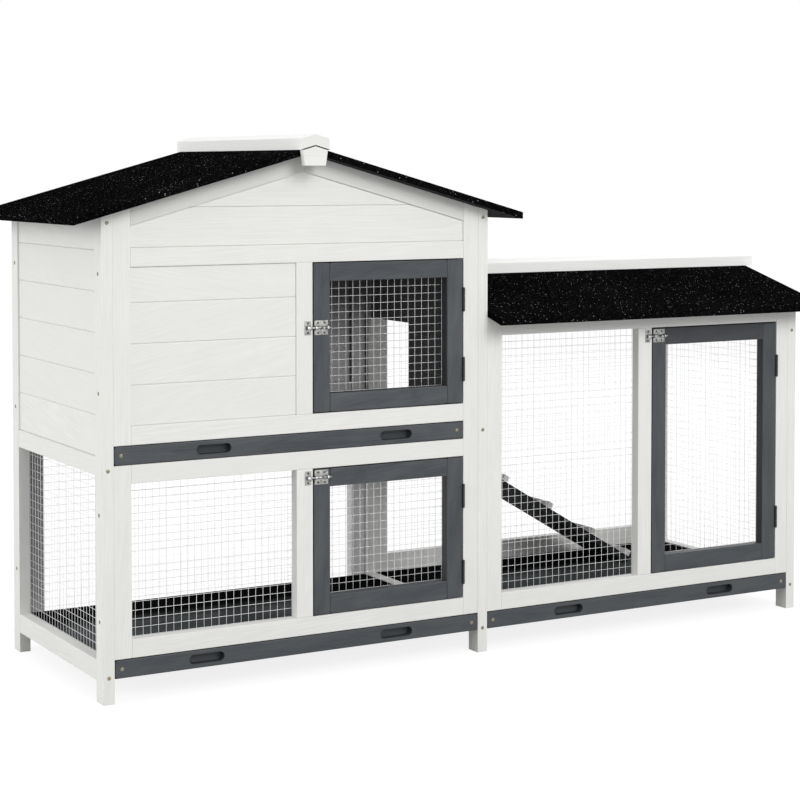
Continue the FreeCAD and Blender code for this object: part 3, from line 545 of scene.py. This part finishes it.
def timberPiece(node, materials, ease, choose=None, splitAt=None, slotEase=0):
    # choose gives the number of a face's material, splitAt is an X at which faces are parted,
    # slotEase is the width eased inside the piece's outline, where its slots are
    chance = random.Random(node)
    low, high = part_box(node)
    parts = looseSolids(node)

    def outer(edge):
        return all(toOutline(vert.co, low, high) < timber["onOutline"] for vert in edge.verts)

    def inner(edge):
        return all(toOutline(vert.co, low, high) > timber["inside"] for vert in edge.verts)

    for part in parts:
        way = grainWay(part)
        easeEdges(part, ease, only=outer if slotEase else None)
        easeEdges(part, slotEase, only=inner)
        if splitAt is not None:
            bmesh.ops.bisect_plane(part, geom=part.verts[:] + part.edges[:] + part.faces[:],
                                   plane_co=(splitAt, 0, 0), plane_no=(1, 0, 0))
        layGrain(part, way, chance)
        for face in part.faces:
            face.material_index = int(choose(face)) if choose else 0
    gather(node + "_timber", parts, materials, bodyOf[node], [node])


# widths of the eased edges, what counts as on or inside an outline, and how far a face's normal turns
timber = {"ease": 1.0 * mm, "boardEase": 0.8 * mm, "doorEase": 1.5 * mm, "trayEase": 2.3 * mm,
          "slotEase": 0.6 * mm, "roofEase": 0.3 * mm, "runnerEase": 0.5 * mm, "rampEase": 0.6 * mm,
          "onOutline": 0.1 * mm, "inside": 3 * mm, "facing": 0.7, "flat": 0.96, "aslant": 0.2, "under": 0.6}
room = {"left": -690 * mm, "corner": -600 * mm, "right": -3 * mm, "wall": 150 * mm,
        "stile": -50 * mm, "postSplit": -1.4 * mm}
capJoint = {"slope": 0.275, "from": 17.5 * mm, "to": 22.5 * mm}
runDoor = {"left": 100 * mm, "topRail": 50 * mm}


def towardsRoom(face):
    # faces that look into the closed house from its front or back
    centre = face.calc_center_median()
    fromBack = face.normal.y < -timber["facing"] and centre.y > room["wall"]
    fromFront = face.normal.y > timber["facing"] and centre.y < -room["wall"]
    return (fromBack or fromFront) and room["left"] < centre.x < room["right"]


def inBackCorner(face):
    # the left back corner lies deeper in shade than the rest of the back
    return towardsRoom(face) * (2 if face.calc_center_median().x < room["corner"] else 1)


def besideDoorway(face):
    # the left sides of the stile and post beside the doorway, which step back into shade
    return face.normal.x < -timber["aslant"] and room["stile"] < face.calc_center_median().x < 0


def towardsHouse(face):
    return face.normal.x < -timber["facing"]


def fromLeftWall(face):
    return face.normal.x > timber["facing"]


def capFace(face):
    # 1 for the eased edges where the block under the main cap meets it, which take painted shade,
    # 2 for the cap's outer faces but for the front and back, which take a lighter white as painted light
    low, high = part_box("main_ridge_cap")
    centre = face.calc_center_median()
    fall = high.z - centre.z - capJoint["slope"] * abs(centre.x - (low.x + high.x) / 2)
    eased = face.normal.y < -timber["aslant"] and abs(face.normal.z) > timber["aslant"]
    if eased and capJoint["from"] < fall < capJoint["to"]:
        return 1
    return 2 * (abs(face.normal.y) < timber["facing"])


def underEave(face, high):
    # the top rail of the run's door, which the run's roof keeps in shade
    return high.x > runDoor["left"] and face.calc_center_median().z > high.z - runDoor["topRail"]


def rimPart(face, low, high, ease):
    # 1 for the eased strip round a door or tray front, in the shade of its gap, 2 for the sides behind it
    # and for the sides of its opening or slots
    if abs(face.normal.y) < timber["aslant"]:
        return 2
    near = toOutline(face.calc_center_median(), low, high) < ease + timber["onOutline"]
    return int(near and abs(face.normal.y) < timber["flat"])


for node in ("front_left_post", "front_middle_post", "front_right_post", "back_right_post", "left_side_rails",
             "run_front_frame", "run_end_frame", "run_back_frame"):
    timberPiece(node, [whitePaint], timber["ease"])
# the barge boards take painted shade from the eaves
timberPiece("barge_boards", [bargePaintWithPaintedShade], timber["ease"])
# the main cap's sides take painted light, its joint with the block painted shade
timberPiece("main_ridge_cap", [whitePaint, gapShadePaint, capPaintWithPaintedLight], timber["ease"], capFace)
timberPiece("run_ridge_cap", [capPaintWithPaintedLight], timber["ease"])
timberPiece("house_front_frame", [whitePaint, shadePaint], timber["ease"], towardsRoom)
for node in ("house_back_frame", "back_left_post"):
    timberPiece(node, [whitePaint, shadePaint, cornerShadePaint, doorwayShadePaint], timber["ease"],
                lambda face: 3 * besideDoorway(face) or inBackCorner(face))
timberPiece("back_middle_post", [whitePaint, shadePaint, doorwayShadePaint], timber["ease"],
            lambda face: 2 * besideDoorway(face) or towardsRoom(face), room["postSplit"])
timberPiece("partition_frame", [whitePaint, shadePaint], timber["ease"], towardsHouse)
for node in ("front_wall_boards", "front_gable_boards", "back_wall_boards"):
    timberPiece(node, [whitePaint, shadePaint], timber["boardEase"], towardsRoom)
timberPiece("left_side_boards", [whitePaint, shadePaint], timber["boardEase"], fromLeftWall)
timberPiece("partition_boards", [whitePaint, partitionShadePaint], timber["boardEase"], towardsHouse)
# round each door the eased strip is near black painted shade from its gap; its sides and the run door's top
# rail take the slate paint in shade
for node in ("upper_door_frame", "lower_door_frame", "run_door_frame"):
    low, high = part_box(node)
    timberPiece(node, [greyPaint, gapShadePaint, sidePaint], timber["doorEase"],
                lambda face: rimPart(face, low, high, timber["doorEase"]) or 2 * underEave(face, high))
# round each tray front the eased strip and the back face are near black painted shade; its sides and slot
# sides take the slate paint in shade
for node in ("upper_tray_front", "lower_tray_front", "run_tray_front"):
    low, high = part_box(node)
    timberPiece(node, [greyPaint, gapShadePaint, sidePaint], timber["trayEase"],
                lambda face: rimPart(face, low, high, timber["trayEase"]) or face.normal.y > timber["facing"],
                None, timber["slotEase"])
for node in ("left_roof_board", "right_roof_board", "run_roof_boards"):
    # only the underside is seen, the rest lies under the felt
    timberPiece(node, [darkRamp, felt], timber["roofEase"],
                lambda face: face.normal.z > -timber["under"])
timberPiece("tray_runners", [barePine], timber["runnerEase"])
timberPiece("ramp_board", [darkRamp], timber["rampEase"])
timberPiece("ramp_cleats", [paleCleat], timber["rampEase"])
print("timber pieces made")


# roof felt, tray sheets and fittings keep their CAD shape with eased edges
def boxSolid(low, high):
    part = bmesh.new()
    bmesh.ops.create_cube(part, size=1.0)
    for vert in part.verts:
        vert.co = Vector([low[axis] if vert.co[axis] < 0 else high[axis] for axis in range(3)])
    return part


slotStrip = {"thick": 1.5 * mm, "foot": 22.0 * mm, "top": 3.2 * mm, "inset": 4.0 * mm, "ease": 0.3 * mm}


def slotBacking(node):
    # a slate strip behind the tray front, which closes its finger slots
    low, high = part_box(node)
    strip = boxSolid((low.x + slotStrip["inset"], low.y, high.z - slotStrip["foot"]),
                     (high.x - slotStrip["inset"], low.y + slotStrip["thick"], high.z - slotStrip["top"]))
    easeEdges(strip, slotStrip["ease"])
    layGrain(strip, Vector((1, 0, 0)), random.Random(node + "strip"))
    gather(node.replace("_floor", "_slot_strip"), [strip], [greyPaint], bodyOf[node], [])


def easedPiece(node, suffix, materials, width, steps=2, raised=None):
    # what stands further to the front than raised takes the second material
    parts = looseSolids(node)
    for part in parts:
        easeEdges(part, width, steps)
        for face in part.faces:
            face.smooth = True
            face.material_index = int(raised is not None and face.calc_center_median().y < raised)
    piece = gather(node + suffix, parts, materials, bodyOf[node], [node])
    piece.data.set_sharp_from_angle(angle=fitting["sharp"])


fitting = {"feltEase": 0.6 * mm, "sheetEase": 0.5 * mm, "hingeEase": 0.12 * mm, "latchEase": 0.25 * mm,
           "raised": -217.5 * mm, "sharp": math.radians(40)}
for node in ("main_roof_felt", "run_roof_felt"):
    easedPiece(node, "_grained", [felt], fitting["feltEase"])
for node in ("upper_tray_floor", "lower_tray_floor", "run_tray_floor"):
    easedPiece(node, "_sheet", [traySheet], fitting["sheetEase"])
    slotBacking(node)
for node in ("frame_hinges", "upper_door_hinges", "lower_door_hinges", "run_door_hinges", "ramp_hinges"):
    easedPiece(node, "_steel", [blackSteel], fitting["hingeEase"], 1)
for node in ("latch_keepers", "upper_door_latch_plate", "lower_door_latch_plate", "run_door_latch_plate"):
    easedPiece(node, "_plated", [plateZinc, zinc], fitting["latchEase"], 2, fitting["raised"])
for node in ("upper_door_bolt", "lower_door_bolt", "run_door_bolt"):
    easedPiece(node, "_plated", [boltZinc], fitting["latchEase"])
print("felt, trays and fittings made")


# shared helpers for Geometry Nodes trees
class Builder:
    # one Geometry Nodes tree with named inputs
    def __init__(self, name, inputs):
        self.tree = bpy.data.node_groups.new(name, "GeometryNodeTree")
        self.tree.interface.new_socket("Geometry", in_out="INPUT", socket_type="NodeSocketGeometry")
        self.ids = {}
        for key, (kind, value) in inputs.items():
            socket = self.tree.interface.new_socket(key, in_out="INPUT", socket_type="NodeSocket" + kind)
            if value is not None:
                socket.default_value = value
            self.ids[key] = socket.identifier
        self.tree.interface.new_socket("Geometry", in_out="OUTPUT", socket_type="NodeSocketGeometry")
        self.start = self.tree.nodes.new("NodeGroupInput")
        self.end = self.tree.nodes.new("NodeGroupOutput")

    def given(self, key):
        return self.start.outputs[key]

    def node(self, kind, settings=None, values=None, out=0):
        made = self.tree.nodes.new(kind)
        for key, value in (settings or {}).items():
            setattr(made, key, value)
        for key, value in (values or {}).items():
            for one in value if isinstance(value, list) else [value]:
                if isinstance(one, bpy.types.NodeSocket):
                    self.tree.links.new(one, made.inputs[key])
                else:
                    made.inputs[key].default_value = one
        return made.outputs[out] if made.outputs else None

    def sum(self, operation, first, second=None):
        values = {0: first} if second is None else {0: first, 1: second}
        return self.node("ShaderNodeMath", {"operation": operation}, values)

    def point(self, x=0.0, y=0.0, z=0.0):
        return self.node("ShaderNodeCombineXYZ", None, {0: x, 1: y, 2: z})

    def close(self, geometry):
        whole = self.node("GeometryNodeRealizeInstances", None, {0: geometry})
        painted = self.node("GeometryNodeSetMaterial", None, {0: whole, "Material": self.given("Material")})
        self.tree.links.new(painted, self.end.inputs[0])

    def grow(self, name, mesh, values):
        # a plain mesh grown from another by this tree
        host = bpy.data.objects.new(name + "_host", mesh)
        bpy.context.scene.collection.objects.link(host)
        modifier = host.modifiers.new("grow", "NODES")
        modifier.node_group = self.tree
        for key, value in values.items():
            modifier[self.ids[key]] = value
        held = host.evaluated_get(bpy.context.evaluated_depsgraph_get())
        grown = bpy.data.meshes.new_from_object(held)
        host.modifiers.clear()
        bpy.data.objects.remove(host)
        grown.name = name
        return grown


# welded wire mesh
# the level and upright wires stand apart from the middle of the sheet by a share of the wire's thickness
netting = {"pitch": 13.6 * mm, "wire": 0.64 * mm, "lap": 7.0 * mm, "cadLap": 8.0 * mm, "bend": 0.20 * mm,
           "stepLength": 45 * mm, "apart": 0.42, "sides": 6, "waves": 14.0, "levelSeed": 3.0,
           "uprightSeed": 7.0}


def wireTree():
    build = Builder("weldedWire", {
        "Width": ("Float", 0.3), "Height": ("Float", 0.3), "Across": ("Int", 20), "Up": ("Int", 20),
        "Wire": ("Float", 0.001), "Lap": ("Float", 0.008), "Bend": ("Float", 0.0003), "Steps": ("Int", 8),
        "Material": ("Material", None)})
    wire = build.given("Wire")

    def layer(span, length, count, lying, depth):
        # parallel wires: span is where they stand, length how long they are
        half = build.sum("MULTIPLY", span, 0.5)
        reach = build.sum("ADD", build.sum("MULTIPLY", length, 0.5), build.given("Lap"))
        low = build.sum("MULTIPLY", half, -1.0)
        back = build.sum("MULTIPLY", reach, -1.0)
        ends = [build.point(z=end) if lying else build.point(x=end) for end in (low, half)]
        line = build.node("GeometryNodeMeshLine", {"mode": "END_POINTS"}, {
            "Count": build.sum("ADD", count, 1), "Start Location": ends[0], "Offset": ends[1]})
        tips = [build.point(x=tip) if lying else build.point(z=tip) for tip in (back, reach)]
        rod = build.node("GeometryNodeCurvePrimitiveLine", None, {"Start": tips[0], "End": tips[1]})
        rod = build.node("GeometryNodeResampleCurve", None, {"Curve": rod, "Count": build.given("Steps")})
        rods = build.node("GeometryNodeInstanceOnPoints", None, {"Points": line, "Instance": rod})
        rods = build.node("GeometryNodeRealizeInstances", None, {0: rods})
        place = build.node("GeometryNodeInputPosition")
        wave = build.node("ShaderNodeTexNoise", {"noise_dimensions": "4D"}, {
            "Vector": place, "W": netting["levelSeed"] if lying else netting["uprightSeed"],
            "Scale": netting["waves"], "Detail": 1.0}, 1)
        wave = build.node("ShaderNodeVectorMath", {"operation": "SUBTRACT"}, {0: wave, 1: (0.5, 0.5, 0.5)})
        wave = build.node("ShaderNodeVectorMath", {"operation": "SCALE"}, {
            0: wave, "Scale": build.given("Bend")})
        away = build.point(y=build.sum("MULTIPLY", wire, depth))
        shift = build.node("ShaderNodeVectorMath", {"operation": "ADD"}, {0: wave, 1: away})
        return build.node("GeometryNodeSetPosition", None, {"Geometry": rods, "Offset": shift})

    width, height = build.given("Width"), build.given("Height")
    upright = layer(width, height, build.given("Across"), False, -netting["apart"])
    level = layer(height, width, build.given("Up"), True, netting["apart"])
    both = build.node("GeometryNodeJoinGeometry", None, {0: [upright, level]})
    ring = build.node("GeometryNodeCurvePrimitiveCircle", None, {
        "Resolution": netting["sides"], "Radius": build.sum("MULTIPLY", wire, 0.5)})
    wires = build.node("GeometryNodeCurveToMesh", None, {
        "Curve": both, "Profile Curve": ring, "Fill Caps": True})
    build.close(wires)
    return build


wires = wireTree()


def wirePanel(node):
    # fits a net into the sheet that the CAD node is
    low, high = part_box(node)
    size = high - low
    sideways = size.x < size.y
    width = (size.y if sideways else size.x) - netting["cadLap"] * 2
    height = size.z - netting["cadLap"] * 2
    values = {
        "Width": width, "Height": height, "Across": max(round(width / netting["pitch"]), 1),
        "Up": max(round(height / netting["pitch"]), 1), "Wire": netting["wire"], "Lap": netting["lap"],
        "Bend": netting["bend"], "Steps": int(max(width, height) / netting["stepLength"]) + 2,
        "Material": wireZinc}
    mesh = wires.grow(node + "_wires", bpy.data.meshes.new("seed"), values)
    turn = Matrix.Rotation(math.pi / 2, 4, "Z") if sideways else Matrix.Identity(4)
    mesh.transform(Matrix.Translation((low + high) / 2) @ turn)
    for face in mesh.polygons:
        face.use_smooth = True
    piece = bpy.data.objects.new(node + "_wires", mesh)
    bpy.context.scene.collection.objects.link(piece)
    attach(piece, bodyOf[node])
    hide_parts(node)


for node in ("front_window_mesh", "house_back_mesh", "left_side_mesh", "run_front_mesh", "run_back_mesh",
             "run_end_mesh", "upper_door_mesh", "lower_door_mesh", "run_door_mesh"):
    wirePanel(node)
print("wire mesh woven")


# screws
# the cross in a head: its arms as shares of the radius, its recess and height as shares of the rise
screwCross = {"long": 1.1, "wide": 0.26, "recess": 0.45, "tall": 2.0, "spin": 3.0, "seed": 5}


def screwTree():
    build = Builder("screwHeads", {
        "Radius": ("Float", 0.0033), "Rise": ("Float", 0.0008), "Recess": ("Float", 0.45),
        "Material": ("Material", None)})
    dome = build.node("GeometryNodeMeshUVSphere", None, {"Segments": 16, "Rings": 8, "Radius": 1.0})
    radius = build.given("Radius")
    flat = build.point(radius, radius, build.given("Rise"))
    dome = build.node("GeometryNodeTransform", None, {"Geometry": dome, "Scale": flat})
    long = build.sum("MULTIPLY", radius, screwCross["long"])
    thin = build.sum("MULTIPLY", radius, screwCross["wide"])
    deep = build.sum("MULTIPLY", build.given("Rise"), build.given("Recess"))
    tall = build.sum("MULTIPLY", build.given("Rise"), screwCross["tall"])
    lift = build.point(z=build.sum("ADD", tall, deep))
    bars = []
    for sides in ((long, thin), (thin, long)):
        bar = build.node("GeometryNodeMeshCube", None, {
            "Size": build.point(*sides, build.sum("MULTIPLY", tall, 2.0))})
        bars.append(build.node("GeometryNodeTransform", None, {"Geometry": bar, "Translation": lift}))
    cut = build.node("GeometryNodeMeshBoolean", {"operation": "DIFFERENCE"}, {0: dome, 1: bars})
    facing = build.node("GeometryNodeInputNamedAttribute", {"data_type": "FLOAT_VECTOR"}, {"Name": "facing"})
    turned = build.node("FunctionNodeAlignRotationToVector", {"axis": "Z"}, {"Vector": facing})
    spin = build.node("FunctionNodeRandomValue", {"data_type": "FLOAT"}, {
        2: 0.0, 3: screwCross["spin"], "Seed": screwCross["seed"]}, 1)
    own = build.node("FunctionNodeEulerToRotation", None, {0: build.point(z=spin)})
    turned = build.node("FunctionNodeRotateRotation", {"rotation_space": "LOCAL"}, {0: turned, 1: own})
    placed = build.node("GeometryNodeInstanceOnPoints", None, {
        "Points": build.given("Geometry"), "Instance": cut, "Rotation": turned})
    build.close(placed)
    return build


screws = screwTree()


def screwHeads(name, body, spots, look, material, replaced=()):
    # spots: pairs of a place and the way the head looks
    seed = bpy.data.meshes.new(name + "_spots")
    seed.from_pydata([tuple(place) for place, way in spots], [], [])
    facing = seed.attributes.new("facing", "FLOAT_VECTOR", "POINT")
    facing.data.foreach_set("vector", [value for place, way in spots for value in way])
    mesh = screws.grow(name, seed, {"Radius": look["radius"], "Rise": look["rise"],
                                    "Recess": screwCross["recess"], "Material": material})
    piece = bpy.data.objects.new(name, mesh)
    bpy.context.scene.collection.objects.link(piece)
    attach(piece, body)
    if replaced:
        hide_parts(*replaced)


def solidBoxes(node):
    # the lowest and highest corner of each solid of a CAD node
    boxes = []
    for part in looseSolids(node):
        spans = list(zip(*[tuple(vert.co) for vert in part.verts]))
        part.free()
        boxes.append((Vector([min(span) for span in spans]), Vector([max(span) for span in spans])))
    return boxes


postScrew = {"radius": 3.3 * mm, "rise": 0.7 * mm, "sunk": 0.4 * mm}


def postScrewSpots():
    # where the CAD screws have their heads, on the posts' front and left faces
    spots = []
    for low, high in solidBoxes("post_screws"):
        middle = (low + high) / 2
        if high.x - low.x > high.y - low.y:
            spots.append((Vector((low.x + postScrew["sunk"], middle.y, middle.z)), (-1, 0, 0)))
        else:
            spots.append((Vector((middle.x, low.y + postScrew["sunk"], middle.z)), (0, -1, 0)))
    return spots


screwHeads("post_screw_heads", "hutch", postScrewSpots(), postScrew, brass, ["post_screws"])
trayScrew = {"radius": 3.0 * mm, "rise": 0.6 * mm, "inset": 12 * mm}
for tray in ("upper_tray", "lower_tray", "run_tray"):
    low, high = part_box(tray + "_front")
    level = (low.z + high.z) / 2
    spots = [(Vector((x, low.y, level)), (0, -1, 0))
             for x in (low.x + trayScrew["inset"], high.x - trayScrew["inset"])]
    screwHeads(tray + "_screws", tray, spots, trayScrew, brass)
latchScrew = {"radius": 2.1 * mm, "rise": 0.5 * mm, "depth": -216 * mm, "plateSide": 6.5 * mm,
              "plateInset": 3.6 * mm, "keeperInset": 3.4 * mm}
for door in ("upper", "lower", "run"):
    node = door + "_door_latch_plate"
    low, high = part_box(node)
    spots = [(Vector((x, latchScrew["depth"], z)), (0, -1, 0))
             for x in (low.x + latchScrew["plateSide"], high.x - latchScrew["plateSide"])
             for z in (low.z + latchScrew["plateInset"], high.z - latchScrew["plateInset"])]
    screwHeads(node + "_screws", door + "_door", spots, latchScrew, screwSteel)
spots = [(Vector(((low.x + high.x) / 2, latchScrew["depth"], z)), (0, -1, 0))
         for low, high in solidBoxes("latch_keepers")
         for z in (low.z + latchScrew["keeperInset"], high.z - latchScrew["keeperInset"])]
screwHeads("keeper_screws", "hutch", spots, latchScrew, screwSteel)
print("screws set")

low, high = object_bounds()
